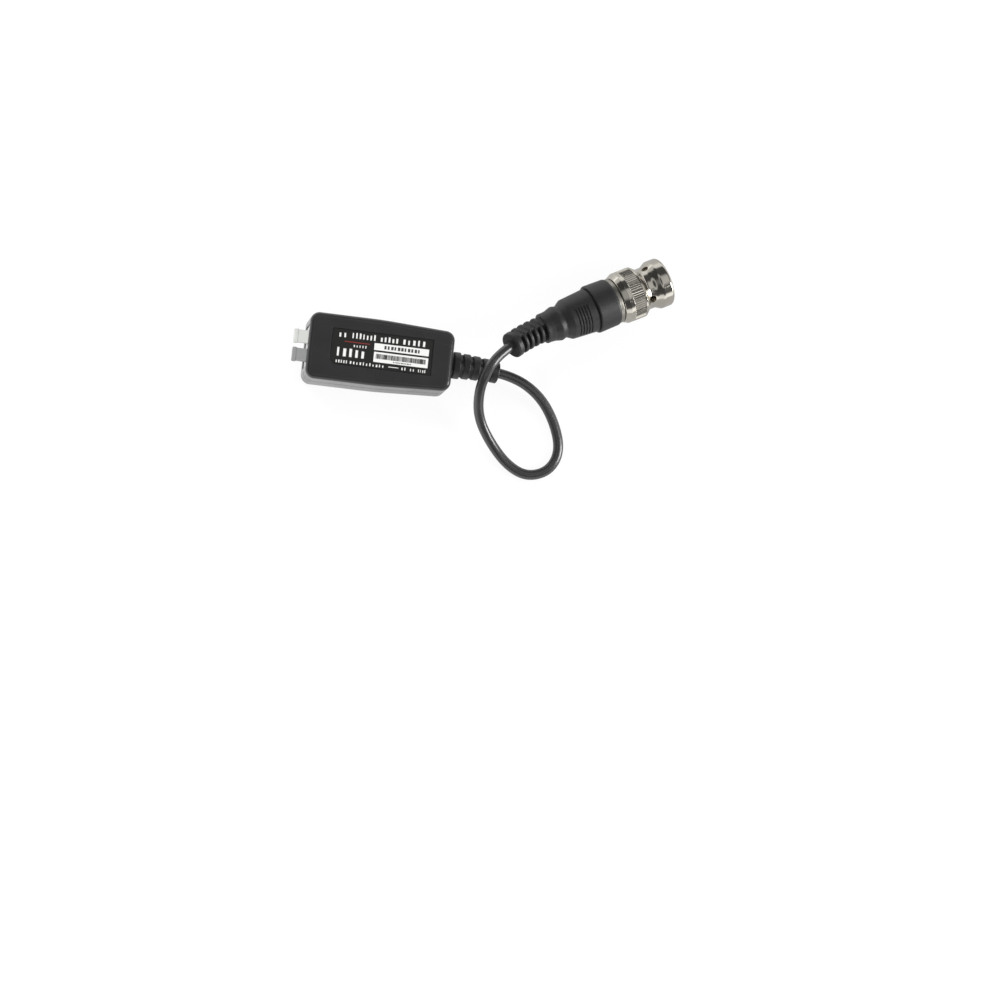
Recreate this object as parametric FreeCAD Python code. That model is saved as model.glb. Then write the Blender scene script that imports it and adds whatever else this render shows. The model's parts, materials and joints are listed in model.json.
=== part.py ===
import FreeCAD, Part
import math
import os

# Passive video balun: a two-part case with a two-pole lever terminal at one end, and at
# the other a short coaxial cable that ends in a moulded bayonet plug.
# Millimetres. The origin is the centre of the case's underside, +X runs from the lever
# end to the cable end, and +Z is up.

V = FreeCAD.Vector

# Case
case_length = 40.0
case_width = 18.4
cable_end_width = 16.4
case_height = 13.0
taper_start_x = 0.0
taper_blend_radius = 120.0
wall = 1.6
floor_thickness = 1.4
roof_thickness = 1.4
corner_radius = 2.6
top_edge_radius = 1.4
bottom_edge_radius = 0.7
cable_height = 6.5
lip_height = 1.0
lip_clearance = 0.06
seam_groove = 0.25

# Label and its recess
recess_length = 28.0
recess_width = 10.0
recess_depth = 0.35
recess_corner_cut = 1.3
recess_centre_x = 0.2
recess_centre_y = 0.25
label_margin = 0.15
label_thickness = 0.2

# Circuit board
board_bottom = 2.2
board_thickness = 1.0
board_gap = 0.3
board_back_x = 14.6
board_corner = 1.6
post_radius = 1.3
post_edge_inset = 1.0
post_back_inset = 1.9
post_block_gap = 1.5
peg_radius = 0.5
peg_length = 3.2
peg_clearance = 0.05
boss_gap = 0.05

# Terminal block
pole_pitch = 5.08
block_side = 0.62
block_ear = 0.5
block_recess = 0.3
block_depth = 10.4
block_roof_gap = 0.4
block_front_wall = 2.0
block_floor = 0.4
window_clearance = 0.1
ear_drop = 1.0
chamber_width = 3.7
chamber_back_x = -13.0
wire_hole_radius = 0.95
wire_hole_height = 1.35
wire_funnel_radius = 1.35
wire_funnel_depth = 0.5

# Levers
lever_pivot_x = -12.6
lever_height = 8.0
lever_thickness = 1.2
lever_width = 3.5
lever_tip_x = -23.7
lever_lip_length = 1.2
lever_lip_width = 3.9
lever_lip_thickness = 1.6
lever_lip_rounding = 0.3
lever_travel_deg = 11.0
lever_slot_gap = 0.1
barrel_radius = 0.9
barrel_gap = 0.15
trunnion_radius = 0.6
trunnion_length = 0.4
trunnion_clearance = 0.05
nose_x = -17.0
nose_radius = 0.5
nose_drop = 0.3
nose_end_gap = 0.2

# Contacts and clamp springs
contact_thickness = 0.4
contact_width = 2.4
contact_front_gap = 0.5
solder_pin_width = 0.9
solder_pin_stickout = 0.4
solder_pin_slot = 1.2
solder_hole_radius = 0.675
spring_thickness = 0.2
spring_width = 2.8
spring_window_width = 2.2
spring_nose_gap = 0.08
spring_clamp_height = 4.6
spring_lip = 0.6
spring_heel_gap = 0.3
spring_heel_run = 1.3

# Transformer
core_centre_x = 1.2
core_outer_radius = 4.6
core_inner_radius = 2.4
core_height = 4.2
core_lift = 0.6
core_rounding = 0.35
winding_turns = 9
winding_sector_deg = 150.0
magnet_wire_radius = 0.2
magnet_wire_gap = 0.05
magnet_wire_sides = 8

# Small parts on the board: centre x, centre y, length, width, height
diode_box = (-6.4, 2.2, 2.6, 3.2, 2.0)
capacitor_boxes = ((8.6, 4.6, 3.2, 1.6, 1.2), (8.6, -4.6, 3.2, 1.6, 1.2))
resistor_boxes = (
    (-6.6, -0.9, 2.0, 1.25, 0.6),
    (-6.6, -2.9, 2.0, 1.25, 0.6),
    (9.6, 2.6, 2.0, 1.25, 0.6),
)
chip_end = 0.35
chip_waist = 0.05

# Cable
cable_radius = 1.4
dielectric_radius = 0.85
conductor_radius = 0.25
drain_radius = 0.45
arc_share = 0.45
jacket_start_x = 16.4
dielectric_bared = 1.2
lead_inset = 2.4
lead_spread = 1.7

# Case grommet, from the case outwards
grommet_stand_off = 0.7
grommet_rings = (3.7, 3.5, 3.35, 3.2, 3.0)
grommet_ring_length = 2.0
grommet_gap = 0.7
grommet_core_radius = 2.1
grommet_neck_radius = 3.1
grommet_flange_radius = 4.0
grommet_flange_length = 1.2
grommet_web_width = 3.4
grommet_web_turn_deg = 42.0
grommet_ring_rounding = 0.35
port_clearance = 0.05

# Plug: distances run along its axis from the small end of the boot to the front face
plug_length = 49.0
plug_front_x = 77.2
plug_front_y = 30.7
plug_yaw_deg = 28.9
plug_tilt_deg = 6.0
jacket_end = 17.0

# Boot
tail_ring_radius = 3.7
tail_end_ring = 1.8
tail_rib_count = 5
tail_rib_pitch = 2.0
tail_groove = 1.0
tail_core_radius = 2.2
tail_web_width = 3.0
tail_web_turn_deg = -35.0
tail_web_inset = 0.15
tail_last_rib = 1.4
tail_last_rib_radius = 4.25
bulb_start = 12.2
bulb_radius = 4.95
bulb_end = 16.3
bulb_rounding = 1.2
waist_radius = 4.6
shoulder_start = 16.6
shoulder_end = 18.3
shoulder_rounding = 0.9
grip_start_radius = 5.7
grip_end_radius = 6.25
grip_end = 25.6
seam_width = 0.4
seam_depth = 0.45
collar_step = 0.6
collar_rounding = 0.35
boot_end_taper = 0.15
boot_end = 32.6
boot_end_rounding = 0.9
thumb_groove_count = 5
thumb_groove_first = 19.7
thumb_groove_pitch = 0.85
thumb_groove_width = 0.4
thumb_groove_depth = 0.3
thumb_groove_spread_deg = 90.0
thumb_groove_turn_deg = 123.0

# Plug metalwork
ferrule_start = 15.0
ferrule_end = 25.0
ferrule_across_flats = 4.8
braid_radius = 1.9
stem_start = 18.0
stem_radius = 1.5
stem_bore_radius = 0.95
collar_start = 28.0
collar_key_radius = 4.9
key_start = 29.3
key_length = 1.2
key_depth = 0.6
collar_rim_radius = 6.4
collar_rim_start = 31.9
collar_rim_end = 33.5
body_start = 30.6
body_seat_radius = 4.25
shoulder_radius = 4.75
shoulder_back = 37.0
shoulder_front = 40.4
contact_tip = 46.8
outer_contact_radius = 4.05
outer_contact_wall = 0.6
contact_slit = 0.5
contact_slit_count = 4
insulator_front = 42.8
body_back_wall = 1.2
pin_body_radius = 1.05
pin_body_start = 33.2
pin_radius = 0.675
pin_tip = 46.2
pin_bore_depth = 3.0
gasket_seat_radius = 4.25
gasket_length = 1.8
gasket_radius = 4.75

# Coupling nut and its washers
nut_back = 33.7
nut_back_radius = 6.5
nut_radius = 7.25
nut_flange_bore_length = 1.8
nut_seat_clearance = 0.08
nut_bore_radius = 4.9
nut_cone_end = 35.2
knurl_start = 36.4
knurl_end = 39.8
knurl_count = 72
knurl_root_radius = 7.05
nut_front_shoulder = 40.3
neck_start = 41.9
neck_end = 44.1
neck_radius = 5.9
flare_end = 45.8
lip_radius = 6.9
lip_rounding = 0.8
flare_rounding = 1.2
neck_front_rounding = 2.0
neck_back_rounding = 0.9
nut_rim_rounding = 0.3
cam_outer_radius = 5.6
cam_width = 2.2
cam_sweep_deg = 85.0
cam_steps = 8
cam_start = 43.9
lock_position = 42.4
lock_angle_deg = 132.6
lock_hole_radius = 1.15
start_hole_radius = 0.95
washer_gap = 0.05
thrust_washer_thickness = 0.45
washer_outer_radius = 4.78
wave_count = 3
wave_thickness = 0.2
wave_steps = 36
wave_edge_gap = 0.05

# Values worked out from the sizes above
board_top = board_bottom + board_thickness
roof_inside = case_height - roof_thickness
block_top = roof_inside - block_roof_gap
bulb_root = bulb_start - 0.2
boot_collar_radius = grip_end_radius + collar_step
boot_end_radius = boot_collar_radius - boot_end_taper
block_front_x = -case_length / 2 + block_recess
block_width = pole_pitch * 2 + block_side * 2
recess_floor = case_height - recess_depth
board_half_width = cable_end_width / 2 - wall - board_gap
wire_height = board_top + wire_hole_height
outer_end_x = case_length / 2
inner_end_x = outer_end_x - wall
contact_top = wire_height + wire_hole_radius + contact_thickness
inner_contact_radius = outer_contact_radius - outer_contact_wall
insulator_back = body_start + body_back_wall
gasket_front = shoulder_front + gasket_length
seat_bore_radius = body_seat_radius + nut_seat_clearance

tilt = math.radians(plug_tilt_deg)
yaw = math.radians(plug_yaw_deg)
plug_axis = V(math.cos(yaw) * math.cos(tilt), math.sin(yaw) * math.cos(tilt), -math.sin(tilt))

# The nut's front lip rests on the floor
lip_centre_radius = lip_radius - lip_rounding
plug_front_z = lip_centre_radius * math.cos(tilt) + lip_rounding - lip_rounding * math.sin(tilt)
plug_front = V(plug_front_x, plug_front_y, plug_front_z)


def on_plug_axis(distance):
    return plug_front - plug_axis * (plug_length - distance)


# The cable's route: out of the case, down to the floor and round in one loop, then up
# over the case grommet and into the boot. The last two points lie on the plug's axis.
route_points = [
    V(jacket_start_x, 0.0, cable_height),
    V(26.8, 0.0, cable_height),
    V(38.4, -0.9, 5.3),
    V(46.2, -5.0, 3.6),
    V(51.2, -11.7, 2.2),
    V(53.7, -19.3, 1.45),
    V(51.3, -25.2, 1.42),
    V(45.3, -27.6, 1.5),
    V(39.4, -25.2, 1.8),
    V(33.7, -19.7, 3.6),
    V(29.1, -13.5, 7.2),
    V(27.9, -6.8, 12.4),
    V(29.4, -1.4, 15.1),
    V(32.4, 3.5, 14.5),
    on_plug_axis(6.4),
    on_plug_axis(jacket_end),
]


def box(x0, x1, y0, y1, z0, z1):
    return Part.makeBox(x1 - x0, y1 - y0, z1 - z0, V(x0, y0, z0))


def rod(radius, start, end):
    run = end.sub(start)
    return Part.makeCylinder(radius, run.Length, start, run)


def fused(shapes):
    return shapes[0].multiFuse(shapes[1:]).removeSplitter()


def turned(points):
    """A solid turned about the X axis from (distance, radius) points."""
    corners = [V(x, r, 0) for x, r in points]
    outline = Part.makePolygon(corners + corners[:1])
    return Part.Face(outline).revolve(V(0, 0, 0), V(1, 0, 0), 360)


def ring(start, end, inner, outer):
    return turned([(start, inner), (end, inner), (end, outer), (start, outer)])


def rims(shape, distance, radius):
    """The circular edges about X at this distance and of this radius."""
    found = []
    for edge in shape.Edges:
        curve = edge.Curve
        if not isinstance(curve, Part.Circle):
            continue
        if abs(curve.Center.x - distance) < 1e-4 and abs(curve.Radius - radius) < 1e-4:
            found.append(edge)
    return found


def round_rims(shape, roundings):
    for distance, radius, rounding in roundings:
        shape = shape.makeFillet(rounding, rims(shape, distance, radius))
    return shape


def around_x(shape, angle_deg):
    turned_copy = shape.copy()
    turned_copy.rotate(V(0, 0, 0), V(1, 0, 0), angle_deg)
    return turned_copy


def in_plug(shape):
    """Moves a shape drawn along +X from the boot's small end to the plug's place."""
    spin = FreeCAD.Rotation(V(0, 0, 1), plug_yaw_deg) * FreeCAD.Rotation(V(0, 1, 0), plug_tilt_deg)
    moved = shape.copy()
    moved.Placement = FreeCAD.Placement(on_plug_axis(0), spin).multiply(moved.Placement)
    return moved


def smooth_path(points):
    """Straight runs joined by tangent arcs, with the arcs' radii."""
    edges = []
    radii = []
    start = points[0]
    for before, corner, after in zip(points, points[1:], points[2:]):
        back = before.sub(corner)
        ahead = after.sub(corner)
        reach = arc_share * min(back.Length, ahead.Length)
        radius = reach / math.tan((math.pi - back.getAngle(ahead)) / 2)
        back.normalize()
        ahead.normalize()
        inward = back + ahead
        inward.normalize()
        middle = corner + inward * (math.hypot(radius, reach) - radius)
        edges.append(Part.LineSegment(start, corner + back * reach).toShape())
        edges.append(Part.Arc(corner + back * reach, middle, corner + ahead * reach).toShape())
        radii.append(radius)
        start = corner + ahead * reach
    edges.append(Part.LineSegment(start, points[-1]).toShape())
    return edges, radii


def stretch(edges, begin, end):
    """The part of a path between two distances along it."""
    kept = []
    passed = 0.0
    for edge in edges:
        low = max(begin - passed, 0.0)
        high = min(end - passed, edge.Length)
        if high - low > 1e-6:
            first = edge.getParameterByLength(low)
            last = edge.getParameterByLength(high)
            kept.append(edge.Curve.toShape(first, last))
        passed += edge.Length
    return kept


def station(edges, distance):
    """The place at a distance along a path, with X along it and Z upwards."""
    passed = 0.0
    for edge in edges:
        if distance <= passed + edge.Length or edge is edges[-1]:
            at = edge.getParameterByLength(min(distance - passed, edge.Length))
            heading = edge.tangentAt(at)
            turn = FreeCAD.Rotation(heading, V(0, 0, 0), V(0, 0, 1), "XZY")
            return FreeCAD.Placement(edge.valueAt(at), turn)
        passed += edge.Length


def tube_along(edges, radius):
    """A round bar along lines and arcs, made of cylinders and parts of rings."""
    pieces = []
    for edge in edges:
        start = edge.valueAt(edge.FirstParameter)
        circle = Part.makeCircle(radius, start, edge.tangentAt(edge.FirstParameter))
        section = Part.Face(Part.Wire(circle))
        if isinstance(edge.Curve, Part.Circle):
            turn = math.degrees(edge.LastParameter - edge.FirstParameter)
            pieces.append(section.revolve(edge.Curve.Center, edge.Curve.Axis, turn))
        else:
            pieces.append(section.extrude(edge.valueAt(edge.LastParameter).sub(start)))
    return fused(pieces)


def path_length(edges):
    return sum(edge.Length for edge in edges)


def skinned(sections, closed):
    """A solid whose skin joins each polygon to the next, corner to corner."""
    faces = []
    pairs = list(zip(sections, sections[1:]))
    if closed:
        pairs.append((sections[-1], sections[0]))
    for near, far in pairs:
        for i in range(len(near)):
            j = (i + 1) % len(near)
            faces.append(Part.Face(Part.makePolygon([near[i], near[j], far[j], near[i]])))
            faces.append(Part.Face(Part.makePolygon([near[i], far[j], far[i], near[i]])))
    if not closed:
        for cap in (sections[0], sections[-1]):
            faces.append(Part.Face(Part.makePolygon(cap + cap[:1])))
    solid = Part.Solid(Part.Shell(faces))
    if solid.Volume < 0:
        solid.reverse()
    return solid


def mitred_wire(points, radius, sides):
    """A wire of straight runs with mitred bends."""
    heading = points[1].sub(points[0]).normalize()
    across = heading.cross(V(0.3, 0.5, 0.8)).normalize()
    other = heading.cross(across)
    section = []
    for i in range(sides):
        angle = 2 * math.pi * i / sides
        section.append(points[0] + across * (radius * math.cos(angle)) + other * (radius * math.sin(angle)))
    sections = [section]
    for i in range(1, len(points)):
        heading = points[i].sub(points[i - 1]).normalize()
        normal = heading
        if i + 1 < len(points):
            normal = (heading + points[i + 1].sub(points[i]).normalize()).normalize()
        moved = []
        for corner in sections[-1]:
            along = points[i].sub(corner).dot(normal) / heading.dot(normal)
            moved.append(corner + heading * along)
        sections.append(moved)
    return skinned(sections, False)


# Case

def case_block(inset, bottom, top):
    """The case's plan outline, moved inwards by inset, between two heights."""
    end_x = case_length / 2 - inset
    lever_y = case_width / 2 - inset
    cable_y = cable_end_width / 2 - inset
    slope = math.atan2(lever_y - cable_y, end_x - taper_start_x)
    reach = taper_blend_radius * math.tan(slope / 2)
    dip = taper_blend_radius * (1 - math.cos(slope / 2))
    edges = []
    for side in (1, -1):
        begin_x = taper_start_x - reach
        middle_x = begin_x + taper_blend_radius * math.sin(slope / 2)
        blend = [
            V(begin_x, side * lever_y, bottom),
            V(middle_x, side * (lever_y - dip), bottom),
            V(taper_start_x + reach * math.cos(slope), side * (lever_y - reach * math.sin(slope)), bottom),
        ]
        edges.append(Part.LineSegment(V(-end_x, side * lever_y, bottom), blend[0]).toShape())
        edges.append(Part.Arc(*blend).toShape())
        edges.append(Part.LineSegment(blend[2], V(end_x, side * cable_y, bottom)).toShape())
    for x, y in ((-end_x, lever_y), (end_x, cable_y)):
        edges.append(Part.LineSegment(V(x, -y, bottom), V(x, y, bottom)).toShape())
    outline = Part.Wire(Part.__sortEdges__(edges))
    block = Part.Face(outline).extrude(V(0, 0, top - bottom))
    upright = [e for e in block.Edges if abs(e.tangentAt(e.FirstParameter).z) > 0.99]
    corners = [e for e in upright if abs(abs(e.valueAt(e.FirstParameter).x) - end_x) < 1e-6]
    return block.makeFillet(corner_radius - inset * 0.8, corners)


def edges_at_height(shape, height):
    found = []
    for edge in shape.Edges:
        ends = [vertex.Z for vertex in edge.Vertexes]
        if max(abs(z - height) for z in ends) < 1e-6:
            found.append(edge)
    return found


def terminal_window():
    half = block_width / 2 + window_clearance
    inner_x = -case_length / 2 + wall + 0.5
    return box(-case_length, inner_x, -half, half, board_top, block_top + window_clearance)


def cable_port():
    radius = grommet_neck_radius + port_clearance
    return rod(radius, V(inner_end_x - 1, 0, cable_height), V(outer_end_x + 1, 0, cable_height))


def post_places():
    """Where the four posts stand: beside the terminal block and near the cable end."""
    side = board_half_width - post_edge_inset
    block_end = block_front_x + block_depth + post_block_gap
    return [(x, y) for x in (block_end, board_back_x - post_back_inset) for y in (side, -side)]


def case_bottom():
    shell = case_block(0, 0, cable_height - seam_groove / 2)
    shell = shell.makeFillet(bottom_edge_radius, edges_at_height(shell, 0))
    step = case_block(seam_groove, 1, cable_height)
    lip = case_block(wall / 2 + lip_clearance, 1, cable_height + lip_height)
    inside = case_block(wall, floor_thickness, case_height)
    shell = fused([shell, step, lip]).cut(inside)
    posts = []
    for x, y in post_places():
        posts.append(rod(post_radius, V(x, y, floor_thickness - 0.5), V(x, y, board_bottom)))
        posts.append(rod(peg_radius, V(x, y, floor_thickness), V(x, y, board_bottom + peg_length)))
    return fused([shell] + posts).cut(terminal_window()).cut(cable_port())


def label_outline(margin, bottom, top):
    """The recess's outline with its cut corner, moved inwards by margin."""
    half_x = recess_length / 2 - margin
    half_y = recess_width / 2 - margin
    cut = recess_corner_cut
    points = [
        (-half_x + cut, -half_y), (half_x, -half_y), (half_x, half_y),
        (-half_x, half_y), (-half_x, -half_y + cut)
    ]
    corners = [V(x + recess_centre_x, y + recess_centre_y, bottom) for x, y in points]
    return Part.Face(Part.makePolygon(corners + corners[:1])).extrude(V(0, 0, top - bottom))


def case_top():
    shell = case_block(0, cable_height + seam_groove / 2, case_height)
    shell = shell.makeFillet(top_edge_radius, edges_at_height(shell, case_height))
    step = case_block(seam_groove, cable_height, cable_height + lip_height + seam_groove)
    inside = case_block(wall, 0, roof_inside)
    rebate = case_block(wall / 2, 0, cable_height + lip_height + lip_clearance)
    shell = fused([shell, step]).cut(inside).cut(rebate)
    bosses = []
    sockets = []
    for x, y in post_places():
        bosses.append(rod(post_radius, V(x, y, board_top + boss_gap), V(x, y, roof_inside + 0.5)))
        socket_top = V(x, y, board_bottom + peg_length + 0.3)
        sockets.append(rod(peg_radius + peg_clearance, V(x, y, board_top), socket_top))
    shell = shell.cut(label_outline(0, recess_floor, case_height + 1))
    shell = shell.cut(terminal_window()).cut(cable_port())
    return fused([shell] + bosses).cut(Part.makeCompound(sockets))


def label():
    return label_outline(label_margin, recess_floor, recess_floor + label_thickness)


# Circuit board

def circuit_board():
    front_x = -case_length / 2 + wall + board_gap
    board = box(front_x, board_back_x, -board_half_width, board_half_width, board_bottom, board_top)
    upright = [e for e in board.Edges if abs(e.tangentAt(e.FirstParameter).z) > 0.99]
    board = board.makeChamfer(board_corner / 2, upright)
    holes = []
    for x, y in post_places():
        holes.append(rod(peg_radius + peg_clearance, V(x, y, 0), V(x, y, case_height)))
    pin_x = chamber_back_x - contact_thickness / 2
    for y in (pole_pitch / 2, -pole_pitch / 2):
        holes.append(rod(solder_hole_radius, V(pin_x, y, 0), V(pin_x, y, case_height)))
    return board.cut(Part.makeCompound(holes))


# Terminal block, levers, contacts and springs

def chamber(pole_y):
    """The hollow for one pole: the wire's way in, the lever's slot and the spring's room."""
    low_y = pole_y - chamber_width / 2
    high_y = pole_y + chamber_width / 2
    front = block_front_x
    arm = lever_pivot_x - front
    drop = arm * math.sin(math.radians(lever_travel_deg)) + lever_thickness / 2
    slot_bottom = lever_height - drop - 2.5 * lever_slot_gap
    slot_top = lever_height + lever_thickness / 2 + lever_slot_gap
    room = box(front + block_front_wall, chamber_back_x, low_y, high_y, board_top + block_floor, slot_top)
    slot = box(front - 1, lever_pivot_x, low_y, high_y, slot_bottom, slot_top)
    pocket_low = V(lever_pivot_x, low_y, lever_height)
    pocket = rod(barrel_radius + barrel_gap, pocket_low, V(lever_pivot_x, high_y, lever_height))
    axle_reach = lever_width / 2 + trunnion_length + 0.1
    axle_low = V(lever_pivot_x, pole_y - axle_reach, lever_height)
    axle_high = V(lever_pivot_x, pole_y + axle_reach, lever_height)
    axle_hole = rod(trunnion_radius + trunnion_clearance, axle_low, axle_high)
    hole_end = V(front + block_front_wall + 0.5, pole_y, wire_height)
    hole = rod(wire_hole_radius, V(front - 1, pole_y, wire_height), hole_end)
    mouth = V(front, pole_y, wire_height)
    funnel = Part.makeCone(wire_funnel_radius, wire_hole_radius, wire_funnel_depth, mouth, V(1, 0, 0))
    pin_front = chamber_back_x - contact_thickness - 0.1
    low = pole_y - solder_pin_slot / 2
    high = pole_y + solder_pin_slot / 2
    pin_hole = box(pin_front, chamber_back_x, low, high, board_top - 1, wire_height)
    return fused([room, slot, pocket, axle_hole, hole, funnel, pin_hole])


def terminal_block():
    half = block_width / 2
    body = box(block_front_x, block_front_x + block_depth, -half, half, board_top, block_top)
    ear_x = -case_length / 2 + wall
    ear_y = half + block_ear
    ears = box(ear_x, block_front_x + block_depth, -ear_y, ear_y, board_top, block_top - ear_drop)
    block = fused([body, ears])
    return block.cut(chamber(pole_pitch / 2)).cut(chamber(-pole_pitch / 2))


def lever(pole_y):
    low_y = pole_y - lever_width / 2
    bottom = lever_height - lever_thickness / 2
    top = lever_height + lever_thickness / 2
    arm = box(lever_tip_x + lever_lip_length / 2, lever_pivot_x, low_y, low_y + lever_width, bottom, top)
    lip_low = pole_y - lever_lip_width / 2
    lip_bottom = lever_height - lever_lip_thickness / 2
    lip = box(
        lever_tip_x, lever_tip_x + lever_lip_length, lip_low, lip_low + lever_lip_width,
        lip_bottom, lip_bottom + lever_lip_thickness
    )
    lip = lip.makeFillet(lever_lip_rounding, lip.Edges)
    barrel_low = V(lever_pivot_x, low_y, lever_height)
    barrel = rod(barrel_radius, barrel_low, V(lever_pivot_x, low_y + lever_width, lever_height))
    reach = lever_width / 2 + trunnion_length
    axle_low = V(lever_pivot_x, pole_y - reach, lever_height)
    axle = rod(trunnion_radius, axle_low, V(lever_pivot_x, pole_y + reach, lever_height))
    nose_z = bottom - nose_drop + nose_radius
    nose_end = V(nose_x, low_y + lever_width - nose_end_gap, nose_z)
    nose = rod(nose_radius, V(nose_x, low_y + nose_end_gap, nose_z), nose_end)
    return fused([arm, lip, barrel, axle, nose])


def contact(pole_y):
    """A brass bar over the wire's place, with its solder pin through the board."""
    front = block_front_x + block_front_wall + contact_front_gap
    low_y = pole_y - contact_width / 2
    bar_bottom = contact_top - contact_thickness
    bar = box(front, chamber_back_x, low_y, low_y + contact_width, bar_bottom, contact_top)
    pin_front = chamber_back_x - contact_thickness
    pin_low = pole_y - solder_pin_width / 2
    pin_bottom = board_bottom - solder_pin_stickout
    pin = box(pin_front, chamber_back_x, pin_low, pin_low + solder_pin_width, pin_bottom, contact_top)
    return fused([bar, pin])


def clamp_spring(pole_y):
    """A leaf that starts on the contact, loops up under the lever's nose and hangs down
    in front of the contact, with a window that pulls the wire up against it."""
    top = lever_height - lever_thickness / 2 - nose_drop - spring_nose_gap
    front_x = block_front_x + block_front_wall + 0.1
    t = spring_thickness
    foot = spring_clamp_height - spring_lip
    heel_x = chamber_back_x - spring_heel_gap
    bend_x = heel_x - spring_heel_run
    side_view = [
        (heel_x, contact_top), (heel_x, contact_top + t), (bend_x, top), (front_x, top), (front_x, foot),
        (front_x + t, foot), (front_x + t, top - t), (bend_x - t / 2, top - t), (heel_x - 3 * t, contact_top)
    ]
    corners = [V(x, pole_y - spring_width / 2, z) for x, z in side_view]
    leaf = Part.Face(Part.makePolygon(corners + corners[:1])).extrude(V(0, spring_width, 0))
    low_y = pole_y - spring_window_width / 2
    high_y = pole_y + spring_window_width / 2
    window = box(front_x - 1, front_x + 2 * t, low_y, high_y, spring_clamp_height, contact_top + t / 2)
    return leaf.cut(window)


# Transformer and small parts

def ferrite_core():
    bottom = board_top + core_lift
    outer = Part.makeCylinder(core_outer_radius, core_height, V(core_centre_x, 0, bottom))
    core = outer.cut(Part.makeCylinder(core_inner_radius, core_height, V(core_centre_x, 0, bottom)))
    return core.makeFillet(core_rounding, [e for e in core.Edges if isinstance(e.Curve, Part.Circle)])


def winding(middle_deg):
    """One winding: turns spread over a sector of the core, with both ends on the board."""
    inside = core_inner_radius - magnet_wire_gap - magnet_wire_radius
    outside = core_outer_radius + magnet_wire_gap + magnet_wire_radius
    low = board_top + core_lift - magnet_wire_gap - magnet_wire_radius
    high = board_top + core_lift + core_height + magnet_wire_gap + magnet_wire_radius
    step = winding_sector_deg / (winding_turns - 1)
    first = middle_deg - winding_sector_deg / 2

    def at(angle_deg, radius, z):
        angle = math.radians(angle_deg)
        return V(core_centre_x + radius * math.cos(angle), radius * math.sin(angle), z)

    points = [at(first, outside + magnet_wire_radius, board_top + magnet_wire_gap)]
    for turn in range(winding_turns):
        angle = first + turn * step
        points += [at(angle, outside, high), at(angle, inside, high), at(angle, inside, low)]
        if turn < winding_turns - 1:
            points.append(at(angle + step / 2, outside, low))
    points.append(at(angle + step / 2, outside, low))
    points.append(at(angle + step, outside + 3 * magnet_wire_radius, board_top + 1.5 * magnet_wire_radius))
    return mitred_wire(points, magnet_wire_radius, magnet_wire_sides)


def chip(centre_x, centre_y, length, width, height):
    """A chip part: a body between two slightly larger soldered ends."""
    low_x = centre_x - length / 2
    low_y = centre_y - width / 2
    top = board_top + height
    body = box(low_x, low_x + length, low_y, low_y + width, board_top, top)
    waist_start = low_x + chip_end
    waist_end = low_x + length - chip_end
    near = box(waist_start, waist_end, low_y - 1, low_y + chip_waist, board_top, top)
    far = box(waist_start, waist_end, low_y + width - chip_waist, low_y + width + 1, board_top, top)
    return body.cut(near).cut(far)


# Cable

def cable_path():
    return smooth_path(route_points)


def inner_ends_in_case():
    """The dielectric, conductor and drain between the jacket's end and the board."""
    start = V(jacket_start_x, 0, cable_height)
    bare = V(jacket_start_x - dielectric_bared, 0, cable_height)
    dielectric = rod(dielectric_radius, start, bare)
    lead_x = board_back_x - lead_inset
    lead, _ = smooth_path([
        bare,
        V(lead_x, 0, cable_height),
        V(lead_x - 0.2, lead_spread, cable_height - 2.2),
        V(lead_x - 0.2, lead_spread, board_top),
    ])
    side = V(0, -dielectric_radius - drain_radius, 0)
    drain, _ = smooth_path([
        start + side,
        V(lead_x + 1.4, side.y, cable_height),
        V(lead_x + 1.0, -lead_spread, cable_height - 2.0),
        V(lead_x + 1.0, -lead_spread, board_top),
    ])
    return dielectric, tube_along(lead, conductor_radius), tube_along(drain, drain_radius)


def placed(shape, place):
    moved = shape.copy()
    moved.Placement = place.multiply(moved.Placement)
    return moved


def disc(length, radius, rounding):
    """A round disc along +X from the origin, with both rims rounded."""
    return round_rims(turned([(0, 0), (length, 0), (length, radius), (0, radius)]), [
        (0, radius, rounding), (length, radius, rounding)
    ])


def web_pair(length, reach, width, turn_deg):
    """Two opposite webs that bridge one gap, turned from upright about the cable."""
    return around_x(box(-0.2, length + 0.2, -width / 2, width / 2, -reach, reach), turn_deg)


def case_grommet(path, cable):
    case_face = outer_end_x - jacket_start_x
    pitch = grommet_ring_length + grommet_gap
    pieces = []
    for number, radius in enumerate(grommet_rings):
        start = case_face + grommet_stand_off + number * pitch
        rib = disc(grommet_ring_length, radius, grommet_ring_rounding)
        rib.translate(V(-grommet_ring_length / 2, 0, 0))
        pieces.append(placed(rib, station(path, start + grommet_ring_length / 2)))
        if number + 1 < len(grommet_rings):
            reach = grommet_rings[number + 1] - grommet_ring_rounding
            webs = web_pair(grommet_gap, reach, grommet_web_width, grommet_web_turn_deg)
            pieces.append(placed(webs, station(path, start + grommet_ring_length)))
    end = case_face + grommet_stand_off + len(grommet_rings) * pitch - grommet_gap
    pieces.append(tube_along(stretch(path, case_face, end - 0.3), grommet_core_radius))
    neck_start = V(inner_end_x, 0, cable_height)
    neck_end_x = outer_end_x + grommet_stand_off + grommet_ring_length / 2
    pieces.append(rod(grommet_neck_radius, neck_start, V(neck_end_x, 0, cable_height)))
    flange_start = V(inner_end_x - grommet_flange_length, 0, cable_height)
    pieces.append(rod(grommet_flange_radius, flange_start, neck_start))
    return fused(pieces).cut(cable)


# Plug

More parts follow.
